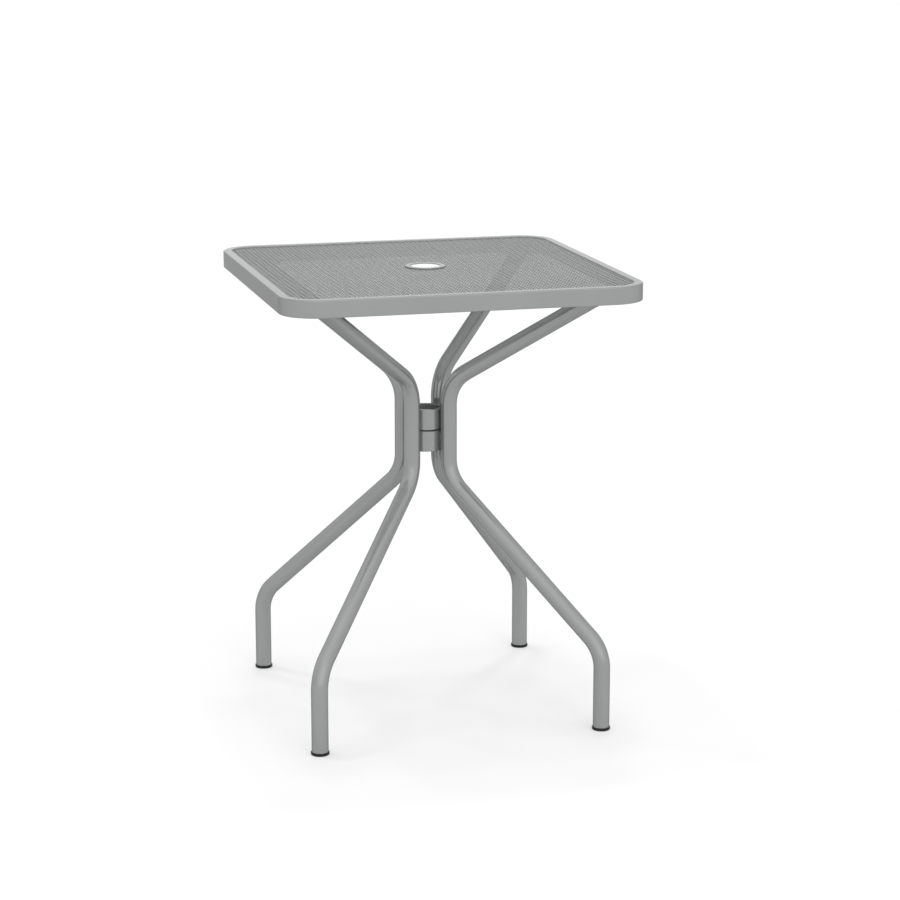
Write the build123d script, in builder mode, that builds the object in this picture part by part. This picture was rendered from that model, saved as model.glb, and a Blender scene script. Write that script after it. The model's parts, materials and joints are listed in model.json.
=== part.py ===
from build123d import *
import os
from math import asin, atan2, cos, hypot, radians, sin, sqrt

# Square garden table: a mesh top in a bent tube frame, on four bent tube legs that meet round a parasol hub.
# Millimetres, +Z up, origin on the floor under the hub, +X along the front edge, +Y to the back.

# Top
top_side = 600.0
table_height = 761.0
top_corner_radius = 60.0
frame_tube_height = 29.0
frame_tube_width = 15.0
frame_tube_wall = 1.5
frame_edge_radius = 2.0
vent_hole_diameter = 5.0

# Mesh panel: the openings are drawn larger than those of the real sheet, so that they stay few
mesh_recess = 1.7
mesh_thickness = 2.1
mesh_clearance = 0.3
mesh_border = 8.0
diamond_pitch_long = 60.0
diamond_pitch_short = 34.0
strand_width = 6.0
tack_leg = 2.5
tack_length = 12.0
tack_count = 6

# Parasol ring and hub sleeves
pole_bore = 50.0
ring_width = 9.0
ring_thickness = 1.7
ring_overlap = 5.0
ring_edge_radius = 0.8
sleeve_wall = 5.0
sleeve_height = 35.2
sleeve_split = 2.4
sleeve_edge_radius = 0.8
sleeve_to_leg_gap = 1.4
hub_middle_height = 482.0
hub_weld_width = 8.0
hub_weld_end_inset = 3.0

# Legs
leg_diameter = 28.0
leg_wall = 1.5
leg_bend_radius = 68.0
foot_inset = 58.6
ankle_height = 137.0
hip_drop = 44.1
shoulder_rise = 46.8

# Plates that join the arms to the top
corner_plate_thickness = 4.0
corner_plate_leg = 72.0
corner_plate_tip = 10.0
head_plate_thickness = 3.0
head_plate_corner_radius = 8.0
head_plate_margin = 4.0
head_weld_leg = 3.0
head_weld_toe = 0.6

# Bolts that hold the plates together
bolt_diameter = 6.0
bolt_protrusion = 2.4
bolt_tip_gap = 3.8
bolt_pitch = 28.0
bolt_inset = 16.0
washer_to_weld_gap = 0.2
bolt_hole_clearance = 0.6
bolt_edge_distance = 10.0
hexagon_across_flats = 10.0
bolt_head_height = 4.0
nut_height = 5.0
thread_clearance = 0.1
washer_diameter = 12.0
washer_thickness = 1.6

# Foot caps
cap_overhang = 1.3
cap_height = 5.0
cap_lower_edge_radius = 1.4
cap_upper_edge_radius = 0.6
plug_length = 20.0
plug_clearance = 0.4
plug_wall = 2.2
plug_floor = 3.0
fin_count = 3
fin_thickness = 1.2
fin_clearance = 0.05

# Places that follow from the sizes above
frame_bottom = table_height - frame_tube_height
inner_side = top_side - 2 * frame_tube_width
inner_corner_radius = top_corner_radius - frame_tube_width
inner_corner_reach = (top_side / 2 - top_corner_radius) * sqrt(2) + inner_corner_radius
mesh_top = table_height - mesh_recess
mesh_bottom = mesh_top - mesh_thickness
corner_plate_top = mesh_bottom - bolt_tip_gap - bolt_protrusion - nut_height
corner_plate_bottom = corner_plate_top - corner_plate_thickness
head_plate_bottom = corner_plate_bottom - head_plate_thickness
head_plate_width = bolt_pitch + 2 * bolt_edge_distance
washer_bottom = head_plate_bottom - washer_thickness
bolt_length = corner_plate_top + nut_height + bolt_protrusion - washer_bottom
bolt_reach = inner_corner_reach - bolt_inset
ring_outer_radius = pole_bore / 2 + ring_width
sleeve_outer_radius = pole_bore / 2 + sleeve_wall
hub_half_height = sleeve_split / 2 + sleeve_height
hip_height = hub_middle_height - hub_half_height - hip_drop
shoulder_height = hub_middle_height + hub_half_height + shoulder_rise
hub_reach = sleeve_outer_radius + sleeve_to_leg_gap + leg_diameter / 2
foot_reach = (top_side / 2 - foot_inset) * sqrt(2)
arm_tip_reach = bolt_reach - washer_diameter / 2 - washer_to_weld_gap - head_weld_leg
arm_span = arm_tip_reach - hub_reach
arm_climb = head_plate_bottom - shoulder_height
arm_rise = atan2(arm_climb, arm_span) + asin(leg_diameter / 2 / hypot(arm_span, arm_climb))
arm_cut_half_length = leg_diameter / 2 / sin(arm_rise)
arm_end_reach = arm_tip_reach - arm_cut_half_length
leg_inner_radius = leg_diameter / 2 - leg_wall

# Each corner of the table, by the angle of its leg round the hub
corner_angles = {"back_right": 45, "back_left": 135, "front_left": 225, "front_right": 315}


def level_plane(angle, height):
    """Level plane whose X axis points outwards at the given angle."""
    outwards = (cos(radians(angle)), sin(radians(angle)), 0)
    return Plane(origin=(0, 0, height), x_dir=outwards, z_dir=(0, 0, 1))


def upright_plane(angle):
    """Upright plane through the hub axis: X points outwards at the given angle and Y points up."""
    outwards = (cos(radians(angle)), sin(radians(angle)), 0)
    sideways = (sin(radians(angle)), -cos(radians(angle)), 0)
    return Plane(origin=(0, 0, 0), x_dir=outwards, z_dir=sideways)


def save(part, name):
    """Label a finished piece and write its file."""
    part.label = name
    export_step(part, f"parts/{name}.step")


def bolt_spots(angle, height):
    """The two bolt places of one arm, at the given height."""
    plane = level_plane(angle, height)
    return [
        plane.from_local_coords((bolt_reach, side * bolt_pitch / 2, 0)) for side in (-1, 1)
    ]


def all_bolt_spots(height):
    """Every bolt place of the table, at the given height."""
    return [spot for angle in corner_angles.values() for spot in bolt_spots(angle, height)]


os.makedirs("parts", exist_ok=True)

# Top frame: one rectangular tube bent to a rounded square, with a vent hole in the underside of each run
with BuildPart() as top_frame:
    with BuildSketch(Plane.XY.offset(frame_bottom)):
        RectangleRounded(top_side, top_side, top_corner_radius)
        RectangleRounded(inner_side, inner_side, inner_corner_radius, mode=Mode.SUBTRACT)
    extrude(amount=frame_tube_height)
    long_edges = top_frame.edges().filter_by(Axis.Z, reverse=True)
    fillet(long_edges, frame_edge_radius)
    with BuildSketch(Plane.XY.offset(frame_bottom + frame_tube_wall)):
        hollow_outer = top_side - 2 * frame_tube_wall
        hollow_inner = inner_side + 2 * frame_tube_wall
        RectangleRounded(hollow_outer, hollow_outer, top_corner_radius - frame_tube_wall)
        RectangleRounded(
            hollow_inner, hollow_inner, inner_corner_radius + frame_tube_wall, mode=Mode.SUBTRACT
        )
    extrude(amount=frame_tube_height - 2 * frame_tube_wall, mode=Mode.SUBTRACT)
    with BuildSketch(Plane.XY.offset(frame_bottom)):
        with PolarLocations(0, 4):
            with Locations((top_side / 2 - frame_tube_width / 2, 0)):
                Circle(vent_hole_diameter / 2)
    extrude(amount=frame_tube_wall, mode=Mode.SUBTRACT)
save(top_frame.part, "top_frame")


def inside_panel(x, y):
    """Whether a point of an opening keeps clear of the panel's border and of the parasol ring."""
    half = inner_side / 2 - mesh_clearance - mesh_border
    corner = max(inner_corner_radius - mesh_clearance - mesh_border, 0)
    over_x = max(abs(x) - half + corner, 0)
    over_y = max(abs(y) - half + corner, 0)
    in_outline = hypot(over_x, over_y) < corner
    return in_outline and hypot(x, y) > ring_outer_radius + strand_width


# Mesh panel: sheet with staggered diamond openings and a round hole for the parasol pole
strand_angle = atan2(diamond_pitch_short, diamond_pitch_long)
diamond_half_long = diamond_pitch_long / 2 - strand_width / 2 / sin(strand_angle)
diamond_half_short = diamond_pitch_short / 2 - strand_width / 2 / cos(strand_angle)
diamond_corners = [
    (diamond_half_long, 0),
    (0, diamond_half_short),
    (-diamond_half_long, 0),
    (0, -diamond_half_short),
]
columns = int(inner_side / diamond_pitch_long) + 1
rows = int(inner_side / diamond_pitch_short) + 1
diamond_spots = []
for column in range(-columns, columns + 1):
    for row in range(-rows, rows + 1):
        if (column + row) % 2 == 0:
            spot_x = column * diamond_pitch_long / 2
            spot_y = row * diamond_pitch_short / 2
            if all(inside_panel(spot_x + x, spot_y + y) for x, y in diamond_corners):
                diamond_spots.append((spot_x, spot_y))

with BuildPart() as mesh_panel:
    with BuildSketch(Plane.XY.offset(mesh_bottom)):
        panel_side = inner_side - 2 * mesh_clearance
        RectangleRounded(panel_side, panel_side, inner_corner_radius - mesh_clearance)
        Circle(ring_outer_radius - ring_overlap, mode=Mode.SUBTRACT)
        with Locations(*diamond_spots):
            Polygon(*diamond_corners, align=None, mode=Mode.SUBTRACT)
    extrude(amount=mesh_thickness)
save(mesh_panel.part, "mesh_panel")

# Tack welds under the edge of the mesh, against the inner wall of the frame
with BuildPart() as mesh_tack_welds:
    tack_pitch = (inner_side - 2 * inner_corner_radius) / tack_count
    for side_angle in (0, 90, 180, 270):
        for tack in range(tack_count):
            along = (tack - (tack_count - 1) / 2) * tack_pitch
            with BuildSketch(upright_plane(side_angle).offset(along)):
                wall = inner_side / 2
                Polygon(
                    (wall, mesh_bottom),
                    (wall - tack_leg, mesh_bottom),
                    (wall, mesh_bottom - tack_leg),
                    align=None,
                )
            extrude(amount=tack_length / 2, both=True)
save(mesh_tack_welds.part, "mesh_tack_welds")

# Parasol ring: flat ring on the mesh round its hole
with BuildPart() as parasol_ring:
    with BuildSketch(Plane.XY.offset(mesh_top)):
        Circle(ring_outer_radius)
        Circle(pole_bore / 2, mode=Mode.SUBTRACT)
    extrude(amount=ring_thickness)
    fillet(parasol_ring.faces().sort_by(Axis.Z)[-1].edges(), ring_edge_radius)
save(parasol_ring.part, "parasol_ring")

# Corner plates, welded into the corners of the frame
for corner, angle in corner_angles.items():
    with BuildPart() as corner_plate:
        with BuildSketch(level_plane(angle - 45, corner_plate_bottom)):
            half = inner_side / 2
            with BuildLine():
                Polyline(
                    (half, half),
                    (half, half - corner_plate_leg),
                    (half - corner_plate_tip, half - corner_plate_leg),
                    (half - corner_plate_leg, half - corner_plate_tip),
                    (half - corner_plate_leg, half),
                    close=True,
                )
            make_face()
            fillet(vertices().group_by(Axis.X)[-1].sort_by(Axis.Y)[-1], inner_corner_radius)
        extrude(amount=corner_plate_thickness)
        with Locations(*bolt_spots(angle, corner_plate_top)):
            Hole(bolt_diameter / 2 + bolt_hole_clearance / 2)
    save(corner_plate.part, f"corner_plate_{corner}")

# Head plates, welded on the level upper ends of the arms
head_plate_inner = arm_end_reach - arm_cut_half_length - head_plate_margin
head_plate_outer = bolt_reach + bolt_edge_distance
for corner, angle in corner_angles.items():
    with BuildPart() as head_plate:
        with BuildSketch(level_plane(angle, head_plate_bottom)):
            with Locations(((head_plate_inner + head_plate_outer) / 2, 0)):
                RectangleRounded(
                    head_plate_outer - head_plate_inner, head_plate_width, head_plate_corner_radius
                )
        extrude(amount=head_plate_thickness)
        with Locations(*bolt_spots(angle, corner_plate_bottom)):
            Hole(bolt_diameter / 2 + bolt_hole_clearance / 2)
    save(head_plate.part, f"head_plate_{corner}")

# Legs: round tubes bent in the upright plane of their corner, cut level under the head plate
for corner, angle in corner_angles.items():
    with BuildPart() as leg:
        with BuildLine(upright_plane(angle)):
            arm_overrun = arm_cut_half_length
            FilletPolyline(
                (foot_reach, cap_height),
                (foot_reach, ankle_height),
                (hub_reach, hip_height),
                (hub_reach, shoulder_height),
                (
                    arm_end_reach + arm_overrun * cos(arm_rise),
                    head_plate_bottom + arm_overrun * sin(arm_rise),
                ),
                radius=leg_bend_radius,
            )
        with BuildSketch(level_plane(angle, cap_height)):
            with Locations((foot_reach, 0)):
                Circle(leg_diameter / 2)
                Circle(leg_inner_radius, mode=Mode.SUBTRACT)
        sweep()
        split(bisect_by=Plane.XY.offset(head_plate_bottom), keep=Keep.BOTTOM)
    save(leg.part, f"leg_{corner}")

# Welds round the arms under the head plates
with BuildPart() as head_plate_welds:
    for angle in corner_angles.values():
        shift = head_weld_leg * cos(arm_rise) / sin(arm_rise)
        with BuildSketch(level_plane(angle, head_plate_bottom)):
            with Locations((arm_end_reach, 0)):
                Ellipse(arm_cut_half_length + head_weld_leg, leg_diameter / 2 + head_weld_leg)
        with BuildSketch(level_plane(angle, head_plate_bottom - head_weld_leg)):
            with Locations((arm_end_reach - shift, 0)):
                Ellipse(arm_cut_half_length + head_weld_toe, leg_diameter / 2 + head_weld_toe)
        loft()
    for angle in corner_angles.values():
        arm_direction = upright_plane(angle).from_local_coords((cos(arm_rise), sin(arm_rise)))
        with BuildSketch(level_plane(angle, head_plate_bottom)):
            with Locations((arm_end_reach, 0)):
                Ellipse(arm_cut_half_length, leg_diameter / 2)
        weld_reach = 2 * head_weld_leg / sin(arm_rise)
        extrude(amount=weld_reach, dir=-arm_direction, mode=Mode.SUBTRACT)
save(head_plate_welds.part, "head_plate_welds")

# Hub sleeves: the upper one is welded to one diagonal pair of legs, the lower one to the other pair
sleeve_bottoms = {
    "upper": hub_middle_height + sleeve_split / 2,
    "lower": hub_middle_height - hub_half_height,
}
welded_pairs = {"upper": ("front_left", "back_right"), "lower": ("front_right", "back_left")}
for place, sleeve_bottom in sleeve_bottoms.items():
    with BuildPart() as sleeve:
        with BuildSketch(Plane.XY.offset(sleeve_bottom)):
            Circle(sleeve_outer_radius)
            Circle(pole_bore / 2, mode=Mode.SUBTRACT)
        extrude(amount=sleeve_height)
        fillet(sleeve.edges().filter_by(GeomType.CIRCLE), sleeve_edge_radius)
    save(sleeve.part, f"{place}_sleeve")

    with BuildPart() as sleeve_welds:
        for corner in welded_pairs[place]:
            with BuildSketch(level_plane(corner_angles[corner], sleeve_bottom + hub_weld_end_inset)):
                with Locations(((hub_reach + sleeve_outer_radius) / 2, 0)):
                    Rectangle(hub_reach - sleeve_outer_radius, hub_weld_width)
                Circle(sleeve_outer_radius, mode=Mode.SUBTRACT)
                with Locations((hub_reach, 0)):
                    Circle(leg_diameter / 2, mode=Mode.SUBTRACT)
            extrude(amount=sleeve_height - 2 * hub_weld_end_inset)
    save(sleeve_welds.part, f"{place}_sleeve_welds")

# Foot caps: a flange under the tube end and a hollow plug with grip fins inside it
for corner, angle in corner_angles.items():
    with BuildPart() as foot_cap:
        foot_plane = level_plane(angle, 0)
        foot_plane.origin = foot_plane.from_local_coords((foot_reach, 0, 0))
        with BuildSketch(foot_plane):
            Circle(leg_diameter / 2 + cap_overhang)
        extrude(amount=cap_height)
        fillet(foot_cap.edges().group_by(Axis.Z)[0], cap_lower_edge_radius)
        fillet(foot_cap.edges().group_by(Axis.Z)[-1], cap_upper_edge_radius)
        plug_radius = leg_inner_radius - plug_clearance
        with BuildSketch(foot_plane.offset(cap_height)):
            Circle(plug_radius)
        extrude(amount=plug_length)
        fin_pitch = plug_length / (fin_count + 1)
        for fin in range(fin_count):
            with BuildSketch(foot_plane.offset(cap_height + (fin + 1) * fin_pitch)):
                Circle(leg_inner_radius - fin_clearance)
            extrude(amount=fin_thickness)
        with BuildSketch(foot_plane.offset(plug_floor)):
            Circle(plug_radius - plug_wall)
        extrude(amount=cap_height + plug_length - plug_floor, mode=Mode.SUBTRACT)
    save(foot_cap.part, f"foot_cap_{corner}")

# Bolts up through both plates, with a washer under each head and a welded nut on each corner plate
with BuildPart() as arm_bolts:
    for spot in all_bolt_spots(washer_bottom):
        with BuildSketch(Plane(origin=spot)):
            RegularPolygon(hexagon_across_flats / 2, 6, major_radius=False)
        extrude(amount=-bolt_head_height)
        with BuildSketch(Plane(origin=spot)):
            Circle(bolt_diameter / 2)
        extrude(amount=bolt_length)
save(arm_bolts.part, "arm_bolts")

with BuildPart() as arm_washers:
    for spot in all_bolt_spots(washer_bottom):
        with BuildSketch(Plane(origin=spot)):
            Circle(washer_diameter / 2)
            Circle(bolt_diameter / 2 + bolt_hole_clearance / 2, mode=Mode.SUBTRACT)
        extrude(amount=washer_thickness)
save(arm_washers.part, "arm_washers")

with BuildPart() as arm_nuts:
    for spot in all_bolt_spots(corner_plate_top):
        with BuildSketch(Plane(origin=spot)):
            RegularPolygon(hexagon_across_flats / 2, 6, major_radius=False)
            Circle(bolt_diameter / 2 + thread_clearance / 2, mode=Mode.SUBTRACT)
        extrude(amount=nut_height)
save(arm_nuts.part, "arm_nuts")
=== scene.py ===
import json
from math import cos, pi, radians, sin, sqrt

import bmesh
import bpy
from mathutils import Matrix, Vector


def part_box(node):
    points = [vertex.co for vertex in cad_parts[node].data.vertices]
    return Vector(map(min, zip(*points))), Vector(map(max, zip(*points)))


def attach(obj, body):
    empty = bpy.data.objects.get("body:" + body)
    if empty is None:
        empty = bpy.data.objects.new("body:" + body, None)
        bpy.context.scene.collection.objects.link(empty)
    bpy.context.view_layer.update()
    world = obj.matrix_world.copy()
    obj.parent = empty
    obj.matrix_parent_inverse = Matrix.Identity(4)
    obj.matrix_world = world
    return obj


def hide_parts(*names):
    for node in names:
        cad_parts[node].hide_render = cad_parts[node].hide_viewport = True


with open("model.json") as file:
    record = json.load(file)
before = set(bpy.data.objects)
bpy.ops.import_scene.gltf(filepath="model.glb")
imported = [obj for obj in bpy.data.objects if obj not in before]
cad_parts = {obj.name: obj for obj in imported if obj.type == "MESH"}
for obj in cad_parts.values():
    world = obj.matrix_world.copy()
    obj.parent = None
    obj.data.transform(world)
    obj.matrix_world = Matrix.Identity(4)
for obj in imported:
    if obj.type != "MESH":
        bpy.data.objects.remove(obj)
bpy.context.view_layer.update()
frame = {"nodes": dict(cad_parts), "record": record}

MM = 0.001

# Camera, as in the photograph: a long lens a little to the left of the front, looking slightly down
CAMERA_AZIMUTH = radians(-15.022)
CAMERA_ELEVATION = radians(13.02)
CAMERA_DISTANCE = 4364.2 * MM
CAMERA_SIDE_SHIFT = 41.65 * MM
CAMERA_AIM_HEIGHT = 442.02 * MM
CAMERA_LENS = 102.122
CAMERA_SENSOR = 36.0

# Expanded mesh of the top: its diamonds along the front and to the back, its strands, which lean a little,
# the thickness of its sheet, and the hole under the parasol ring
MESH_LONG_PITCH = 14.3 * MM
MESH_SHORT_PITCH = 11.1 * MM
MESH_STRAND = 2.5 * MM
MESH_TILT_RISE = 0.1 * MM
MESH_SHEET = 0.73 * MM
MESH_HOLE_RADIUS = 32.0 * MM
MESH_CORNER_RADIUS = 44.7 * MM
MESH_CORNER_CUTS = 6

# Diamonds that the border cuts to a sharp corner, or to a small share of a whole one, stay closed
MESH_LEAST_ANGLE = radians(40.0)
MESH_LEAST_SHARE = 0.3
MESH_MERGE = 0.3 * MM

# The walls of the mesh's openings, which this attribute marks with 1, get painted shade: their colour is
# drawn darker than the rest
PAINTED_SHADE_ATTRIBUTE = "opening_wall_painted_shade"
WALL_PAINTED_SHADE = 0.65

# Silver grey of the powder coat, where its faint mottling is darkest and lightest
COAT_DARK = (0.28, 0.29, 0.286, 1)
COAT_LIGHT = (0.31, 0.32, 0.316, 1)

# White room, with the direction, power and focus of each glow on its walls
WORLD_PLAIN = 0.72
WORLD_GLOWS = (
    ((0.0, -1.0, 0.05), 0.7, 2.0),
    ((-0.1, -0.2, 1.0), 0.35, 5.0),
    ((0.22, 0.95, 0.2), 1.2, 9.0),
    ((-0.72, 0.61, 0.31), 0.4, 8.0),
)

# Lamps nearly overhead, which give the floor its shadow, and a broad one in front of the table
CEILING_AIMS = ((0.0, 0.08, 1.0), (-0.24, 0.24, 1.0), (0.1, 0.28, 1.0))
CEILING_POWER = 0.24
CEILING_WIDTH = radians(5.0)
FRONT_AIM = (0.12, -1.0, 0.25)
FRONT_POWER = 1.15
FRONT_WIDTH = radians(40.0)

# Floor: its colour, and the glow that makes it white to the camera and in reflections
FLOOR_REACH = 30.0
FLOOR_SHADE = 0.5
FLOOR_GLOW = 0.348


class Wire:
    """A socket of a finish. Arithmetic on it adds Math nodes."""

    def __init__(self, finish, socket):
        self.finish = finish
        self.socket = socket

    def math(self, operation, first, second):
        return self.finish.node("ShaderNodeMath", {"operation": operation}, {0: first, 1: second})

    def __add__(self, other):
        return self.math("ADD", self, other)

    def __sub__(self, other):
        return self.math("SUBTRACT", self, other)

    def __mul__(self, other):
        return self.math("MULTIPLY", self, other)

    __radd__ = __add__
    __rmul__ = __mul__


class Finish:
    """A node material, or the world, built from wires."""

    def __init__(self, owner):
        self.owner = owner
        owner.use_nodes = True
        self.tree = owner.node_tree

    def node(self, kind, settings, inputs, output=0):
        """Add a node, set it up, fill its sockets with values or wires, and give one output as a wire."""
        made = self.tree.nodes.new(kind)
        for key, value in settings.items():
            setattr(made, key, value)
        for key, value in inputs.items():
            self.plug(made.inputs[key], value)
        return Wire(self, made.outputs[output])

    def plug(self, socket, value):
        if isinstance(value, Wire):
            self.tree.links.new(value.socket, socket)
        else:
            socket.default_value = value

    def noise(self, scale, detail):
        """Even noise from 0 to 1, with the given number of bumps to the metre."""
        place = self.node("ShaderNodeTexCoord", {}, {}, "Object")
        inputs = {"Vector": place, "Scale": scale, "Detail": detail}
        return self.node("ShaderNodeTexNoise", {}, inputs, "Fac")

    def mix(self, share, first, second):
        """Mix of two colours. The node has sockets of the same name for each kind of data."""
        made = self.tree.nodes.new("ShaderNodeMix")
        made.data_type = "RGBA"
        sockets = {socket.name: socket for socket in made.inputs if socket.enabled}
        self.plug(sockets["Factor"], share)
        self.plug(sockets["A"], first)
        self.plug(sockets["B"], second)
        return Wire(self, next(socket for socket in made.outputs if socket.enabled))

    def bump(self, height, depth):
        """Surface normal of a height from 0 to 1, that many metres deep."""
        return self.node("ShaderNodeBump", {}, {"Strength": 1.0, "Distance": depth, "Height": height})

    def principled(self, **inputs):
        shader = self.tree.nodes["Principled BSDF"]
        for key, value in inputs.items():
            self.plug(shader.inputs[key.replace("_", " ")], value)


def grey(level):
    return (level, level, level, 1)


def powder_coat():
    """Silver grey powder coat: soft metallic sheen, faint mottling, the orange peel of a baked coat, and
    painted shade on the walls of the mesh's openings.
    """
    finish = Finish(bpy.data.materials.new("grey_powder_coat"))
    mottle = finish.noise(scale=14.0, detail=3.0)
    peel = finish.noise(scale=420.0, detail=2.0)
    grain = finish.noise(scale=2600.0, detail=1.0)
    colour = finish.mix(mottle, COAT_DARK, COAT_LIGHT)
    # Painted shade: the attribute marks the walls of the mesh's openings, and their colour is mixed
    # towards black
    painted_shade_mask = finish.node("ShaderNodeAttribute", {"attribute_name": PAINTED_SHADE_ATTRIBUTE}, {}, "Fac")
    finish.principled(
        Base_Color=finish.mix(WALL_PAINTED_SHADE * painted_shade_mask, colour, grey(0.0)),
        Metallic=0.6,
        Specular_Tint=grey(0.34),
        Specular_IOR_Level=0.1,
        Roughness=0.14 + 0.03 * mottle + 0.03 * grain,
        Normal=finish.bump(0.7 * peel + 0.3 * grain, depth=0.02 * MM),
    )
    return finish.owner


def black_plastic():
    """Black moulded plastic of the foot caps, finely spark eroded and a little scuffed."""
    finish = Finish(bpy.data.materials.new("black_plastic"))
    erosion = finish.noise(scale=1800.0, detail=2.0)
    scuff = finish.noise(scale=160.0, detail=4.0)
    finish.principled(
        Base_Color=finish.mix(scuff, grey(0.004), grey(0.012)),
        Specular_IOR_Level=0.3,
        Roughness=0.5 + 0.2 * scuff,
        Normal=finish.bump(erosion, depth=0.03 * MM),
    )
    return finish.owner


def zinc_steel():
    """Bright zinc plate of the bolts, washers and nuts."""
    finish = Finish(bpy.data.materials.new("zinc_steel"))
    cloud = finish.noise(scale=350.0, detail=4.0)
    finish.principled(
        Base_Color=finish.mix(cloud, grey(0.5), grey(0.68)),
        Metallic=1.0,
        Roughness=0.3 + 0.18 * cloud,
        Normal=finish.bump(cloud, depth=0.01 * MM),
    )
    return finish.owner


finishes = {
    "grey_powder_coat": powder_coat(),
    "black_plastic": black_plastic(),
    "zinc_steel": zinc_steel(),
}


def coat_solids():
    """Give every piece of the CAD the finish of its slot."""
    for row in frame["record"]["subparts"]:
        mesh = frame["nodes"][row["node"]].data
        mesh.materials.clear()
        mesh.materials.append(finishes[row["material_slot"]])


def add_object(name, bm):
    """Make an object from a bmesh that lies in place."""
    mesh = bpy.data.meshes.new(name)
    bm.to_mesh(mesh)
    bm.free()
    made = bpy.data.objects.new(name, mesh)
    bpy.context.scene.collection.objects.link(made)
    return made


def add_piece(name, bm, slot, *replaced):
    """Make a piece of the table, shown in place of nodes of the CAD."""
    piece = add_object(name, bm)
    piece.data.materials.append(finishes[slot])
    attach(piece, "root")
    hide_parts(*replaced)


def diamond_grid(half):
    """A flat grid of staggered diamonds that covers a square of this half width."""
    reach = half / MESH_LONG_PITCH + half / MESH_SHORT_PITCH
    cells = 2 * int(reach + 1)
    bm = bmesh.new()
    bmesh.ops.create_grid(bm, x_segments=cells, y_segments=cells, size=cells / 2)
    bmesh.ops.rotate(bm, verts=bm.verts, matrix=Matrix.Rotation(pi / 4, 3, "Z"))
    half_diagonal = sqrt(0.5)
    stretch = (MESH_LONG_PITCH / 2 / half_diagonal, MESH_SHORT_PITCH / 2 / half_diagonal, 1)
    bmesh.ops.scale(bm, verts=bm.verts, vec=stretch)
    return bm


def cut_off(bm, point, outwards):
    """Cut away what lies outside a plane."""
    everything = bm.verts[:] + bm.edges[:] + bm.faces[:]
    bmesh.ops.bisect_plane(bm, geom=everything, plane_co=point, plane_no=outwards, clear_outer=True)


def trim_to_frame(bm, half):
    """Cut the grid to the rounded square inside the frame."""
    for quarter in range(4):
        turn = Matrix.Rotation(quarter * pi / 2, 3, "Z")
        cut_off(bm, turn @ Vector((half, 0, 0)), turn @ Vector((1, 0, 0)))
        centre = turn @ Vector((half - MESH_CORNER_RADIUS, half - MESH_CORNER_RADIUS, 0))
        for cut in range(MESH_CORNER_CUTS):
            angle = (cut + 0.5) / MESH_CORNER_CUTS * pi / 2
            outwards = turn @ Vector((cos(angle), sin(angle), 0))
            cut_off(bm, centre + MESH_CORNER_RADIUS * outwards, outwards)
    bmesh.ops.remove_doubles(bm, verts=bm.verts, dist=MESH_MERGE)


def cut_pole_hole(bm):
    """Open the hole under the parasol ring, and round it off."""
    inner = [face for face in bm.faces if all(v.co.length < MESH_HOLE_RADIUS for v in face.verts)]
    bmesh.ops.delete(bm, geom=inner, context="FACES")
    for vert in bm.verts:
        if vert.co.length < MESH_HOLE_RADIUS:
            vert.co *= MESH_HOLE_RADIUS / vert.co.length


def stays_open(face):
    least_area = MESH_LEAST_SHARE * MESH_LONG_PITCH * MESH_SHORT_PITCH / 2
    sharpest = min(loop.calc_angle() for loop in face.loops)
    return sharpest > MESH_LEAST_ANGLE and face.calc_area() > least_area


def open_diamonds(bm):
    """Open the diamonds between the strands, which lean a little to the front."""
    openings = [face for face in bm.faces if stays_open(face)]
    bmesh.ops.inset_individual(bm, faces=openings, thickness=MESH_STRAND / 2, use_even_offset=True)
    for face in openings:
        middle = face.calc_center_median()
        spread = max(abs(vert.co.y - middle.y) for vert in face.verts)
        for vert in face.verts:
            vert.co.z -= MESH_TILT_RISE * (vert.co.y - middle.y) / spread
    bmesh.ops.delete(bm, geom=openings, context="FACES_ONLY")


def thicken(bm):
    """Give the strands the sheet's thickness, and mark the walls of the openings for painted shade."""
    made = bmesh.ops.extrude_face_region(bm, geom=bm.faces[:])
    lower = [part for part in made["geom"] if isinstance(part, bmesh.types.BMVert)]
    bmesh.ops.translate(bm, verts=lower, vec=(0, 0, -MESH_SHEET))
    bmesh.ops.recalc_face_normals(bm, faces=bm.faces)
    # Mask for the painted shade: 1 on the walls of the openings, 0 on the flat faces
    painted_shade_mask = bm.faces.layers.float.new(PAINTED_SHADE_ATTRIBUTE)
    for face in bm.faces:
        face[painted_shade_mask] = 1 - abs(face.normal.z)


def expanded_mesh():
    """The flattened expanded sheet of the top, with its upper side at the level of the CAD's panel."""
    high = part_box("mesh_panel")[1]
    bm = diamond_grid(high.x)
    trim_to_frame(bm, high.x)
    cut_pole_hole(bm)
    open_diamonds(bm)
    thicken(bm)
    top = max(vert.co.z for vert in bm.verts)
    bmesh.ops.translate(bm, verts=bm.verts, vec=(0, 0, high.z - top))
    add_piece("expanded_mesh", bm, "grey_powder_coat", "mesh_panel")


def add_camera():
    """Camera at the photograph's place."""
    right = Vector((cos(CAMERA_AZIMUTH), sin(CAMERA_AZIMUTH), 0))
    level = cos(CAMERA_ELEVATION)
    back = Vector((sin(CAMERA_AZIMUTH) * level, -cos(CAMERA_AZIMUTH) * level, sin(CAMERA_ELEVATION)))
    aim = right * CAMERA_SIDE_SHIFT + Vector((0, 0, CAMERA_AIM_HEIGHT))
    data = bpy.data.cameras.new("camera")
    data.lens = CAMERA_LENS
    data.sensor_width = CAMERA_SENSOR
    camera = bpy.data.objects.new("camera", data)
    camera.location = aim + CAMERA_DISTANCE * back
    camera.rotation_mode = "QUATERNION"
    camera.rotation_quaternion = (-back).to_track_quat("-Z", "Y")
    bpy.context.scene.collection.objects.link(camera)
    bpy.context.scene.camera = camera


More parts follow.
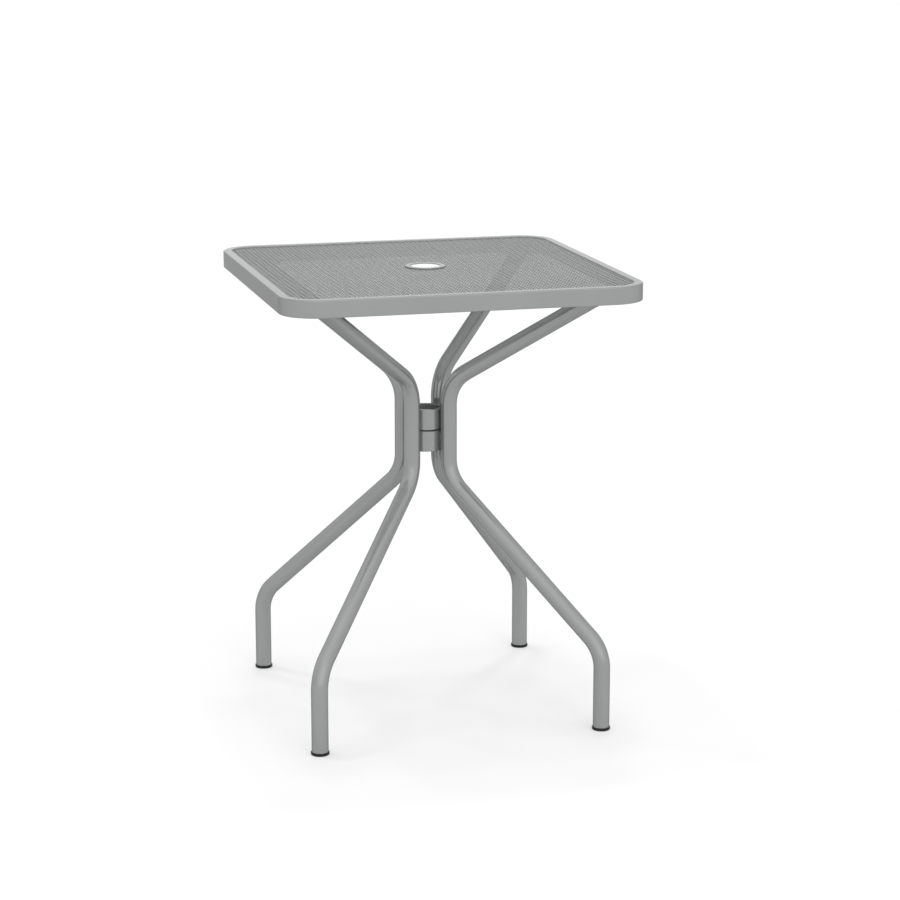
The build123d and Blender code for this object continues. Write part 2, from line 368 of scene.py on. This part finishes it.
def light_world():
    """White studio all round, brighter towards its glows."""
    world = bpy.data.worlds.new("studio")
    bpy.context.scene.world = world
    finish = Finish(world)
    direction = finish.node("ShaderNodeTexCoord", {}, {}, "Generated")
    strength = WORLD_PLAIN
    for aim, power, focus in WORLD_GLOWS:
        inputs = {0: direction, 1: Vector(aim).normalized()}
        facing = finish.node("ShaderNodeVectorMath", {"operation": "DOT_PRODUCT"}, inputs, "Value")
        spread = finish.node("ShaderNodeMath", {"operation": "EXPONENT"}, {0: focus * facing - focus})
        strength = strength + power * spread
    background = finish.tree.nodes["Background"]
    finish.plug(background.inputs["Color"], grey(1.0))
    finish.plug(background.inputs["Strength"], strength)


def add_lamp(name, aim, power, width):
    """A far lamp in this direction, which isn't seen in reflections."""
    data = bpy.data.lights.new(name, "SUN")
    data.energy = power
    data.angle = width
    lamp = bpy.data.objects.new(name, data)
    lamp.visible_glossy = False
    lamp.rotation_mode = "QUATERNION"
    lamp.rotation_quaternion = Vector(aim).to_track_quat("Z", "Y")
    bpy.context.scene.collection.objects.link(lamp)


def seen_directly(finish):
    """1 for what the camera, a reflection or clear glass shows, 0 for what only lights the table."""
    kinds = ("Is Camera Ray", "Is Glossy Ray", "Is Transmission Ray")
    camera, glossy, clear = (finish.node("ShaderNodeLightPath", {}, {}, kind) for kind in kinds)
    return finish.node("ShaderNodeClamp", {}, {"Value": camera + glossy + clear})


def add_floor():
    """White floor that keeps the table's soft shadow."""
    bm = bmesh.new()
    bmesh.ops.create_grid(bm, x_segments=1, y_segments=1, size=FLOOR_REACH)
    floor = add_object("floor", bm)
    finish = Finish(bpy.data.materials.new("pale_floor"))
    glow = FLOOR_GLOW * seen_directly(finish)
    finish.principled(
        Base_Color=grey(FLOOR_SHADE),
        Roughness=1.0,
        Specular_IOR_Level=0.0,
        Emission_Color=finish.mix(glow, grey(0.0), grey(1.0)),
        Emission_Strength=1.0,
    )
    floor.data.materials.append(finish.owner)


coat_solids()
expanded_mesh()
add_camera()
light_world()
for number, ceiling_aim in enumerate(CEILING_AIMS):
    add_lamp(f"ceiling_lamp_{number}", ceiling_aim, CEILING_POWER, CEILING_WIDTH)
add_lamp("front_lamp", FRONT_AIM, FRONT_POWER, FRONT_WIDTH)
add_floor()

scene = bpy.context.scene
scene.view_settings.view_transform = "Standard"
